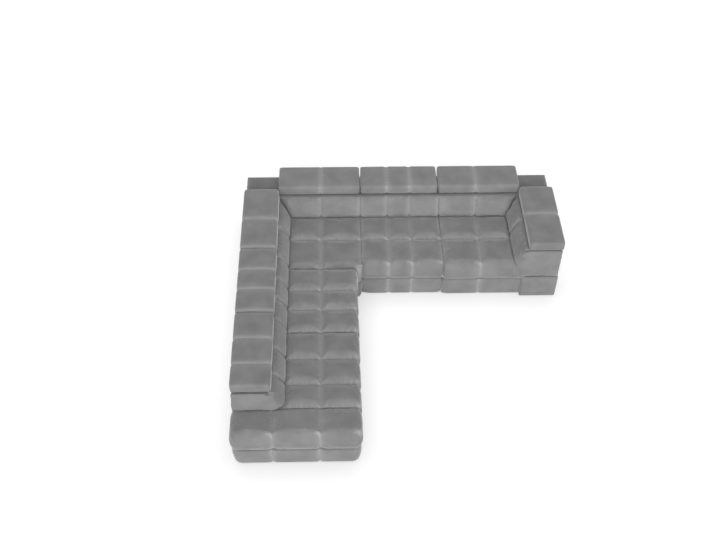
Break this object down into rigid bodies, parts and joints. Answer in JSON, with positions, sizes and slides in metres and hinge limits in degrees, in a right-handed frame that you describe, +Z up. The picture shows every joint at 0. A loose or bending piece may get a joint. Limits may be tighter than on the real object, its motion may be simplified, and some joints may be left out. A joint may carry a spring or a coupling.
{
  "type": "modular corner sofa",
  "caption": "Low modular corner sofa in grey velvet with square-tufted seats, one padded arm, an open end row and fold-up ratchet headrests.",
  "frame": {"origin": "on the floor under the middle of the whole sofa's plan", "axes": "+X to the right along the rear run, +Y to the rear, +Z up; the seats of the rear run face -Y and those of the side run face +X"},
  "size_m": [2.95, 2.9199, 0.7158],
  "materials": {
    "velvet": "matte",
    "timber": "matte",
    "steel": "satin",
    "foot_plastic": "matte",
    "dust_felt": "matte"
  },
  "bodies": {
    "sofa": {"corner_base_frame": "timber", "corner_base_band": "velvet", "corner_seat_cushion": "velvet", "corner_rear_back_frame": "timber", "corner_rear_back_cushion": "velvet", "corner_rear_back_cover": "velvet", "corner_side_back_frame": "timber", "corner_side_back_cushion": "velvet", "corner_side_back_cover": "velvet", "middle_base_frame": "timber", "middle_base_band": "velvet", "middle_seat_cushion": "velvet", "middle_back_frame": "timber", "middle_back_cushion": "velvet", "middle_back_cover": "velvet", "right_base_frame": "timber", "right_base_band": "velvet", "right_seat_cushion": "velvet", "right_back_frame": "timber", "right_back_cushion": "velvet", "right_back_cover": "velvet", "arm_frame": "timber", "arm_cushion": "velvet", "arm_cover": "velvet", "arm_front_band": "velvet", "arm_base_band": "velvet", "left_base_frame": "timber", "left_base_band": "velvet", "left_seat_cushion": "velvet", "left_back_frame": "timber", "left_back_cushion": "velvet", "left_back_cover": "velvet", "end_base_frame": "timber", "end_base_band": "velvet", "end_seat_cushion": "velvet", "end_row_cushion": "velvet", "end_row_band": "velvet", "end_back_frame": "timber", "end_back_cushion": "velvet", "end_back_cover": "velvet", "seat_springs": "steel", "ratchet_brackets": "steel", "hinge_pins": "steel", "feet": "foot_plastic", "module_connectors": "steel", "dust_covers": "dust_felt"},
    "corner_rear_headrest": {"corner_rear_headrest_pad": "velvet", "corner_rear_headrest_frame": "steel"},
    "corner_side_headrest": {"corner_side_headrest_pad": "velvet", "corner_side_headrest_frame": "steel"},
    "middle_headrest": {"middle_headrest_pad": "velvet", "middle_headrest_frame": "steel"},
    "right_headrest": {"right_headrest_pad": "velvet", "right_headrest_frame": "steel"},
    "arm_headrest": {"arm_headrest_pad": "velvet", "arm_headrest_frame": "steel"},
    "left_headrest": {"left_headrest_pad": "velvet", "left_headrest_frame": "steel"},
    "end_headrest": {"end_headrest_pad": "velvet", "end_headrest_frame": "steel"}
  },
  "joints": [
    {"name": "corner_rear_headrest_fold", "type": "hinge", "parent": "sofa", "child": "corner_rear_headrest", "pos_m": [0, 1.213, 0.668], "axis": [1, 0, 0], "range_deg": [0, 85]},
    {"name": "corner_side_headrest_fold", "type": "hinge", "parent": "sofa", "child": "corner_side_headrest", "pos_m": [-1.201, 0, 0.668], "axis": [0, 1, 0], "range_deg": [0, 85]},
    {"name": "middle_headrest_fold", "type": "hinge", "parent": "sofa", "child": "middle_headrest", "pos_m": [0, 1.213, 0.668], "axis": [1, 0, 0], "range_deg": [0, 85]},
    {"name": "right_headrest_fold", "type": "hinge", "parent": "sofa", "child": "right_headrest", "pos_m": [0, 1.213, 0.668], "axis": [1, 0, 0], "range_deg": [0, 85]},
    {"name": "arm_headrest_fold", "type": "hinge", "parent": "sofa", "child": "arm_headrest", "pos_m": [1.213, 0, 0.668], "axis": [0, -1, 0], "range_deg": [0, 85]},
    {"name": "left_headrest_fold", "type": "hinge", "parent": "sofa", "child": "left_headrest", "pos_m": [-1.201, 0, 0.668], "axis": [0, 1, 0], "range_deg": [0, 85]},
    {"name": "end_headrest_fold", "type": "hinge", "parent": "sofa", "child": "end_headrest", "pos_m": [-1.201, 0, 0.668], "axis": [0, 1, 0], "range_deg": [0, 85]}
  ]
}
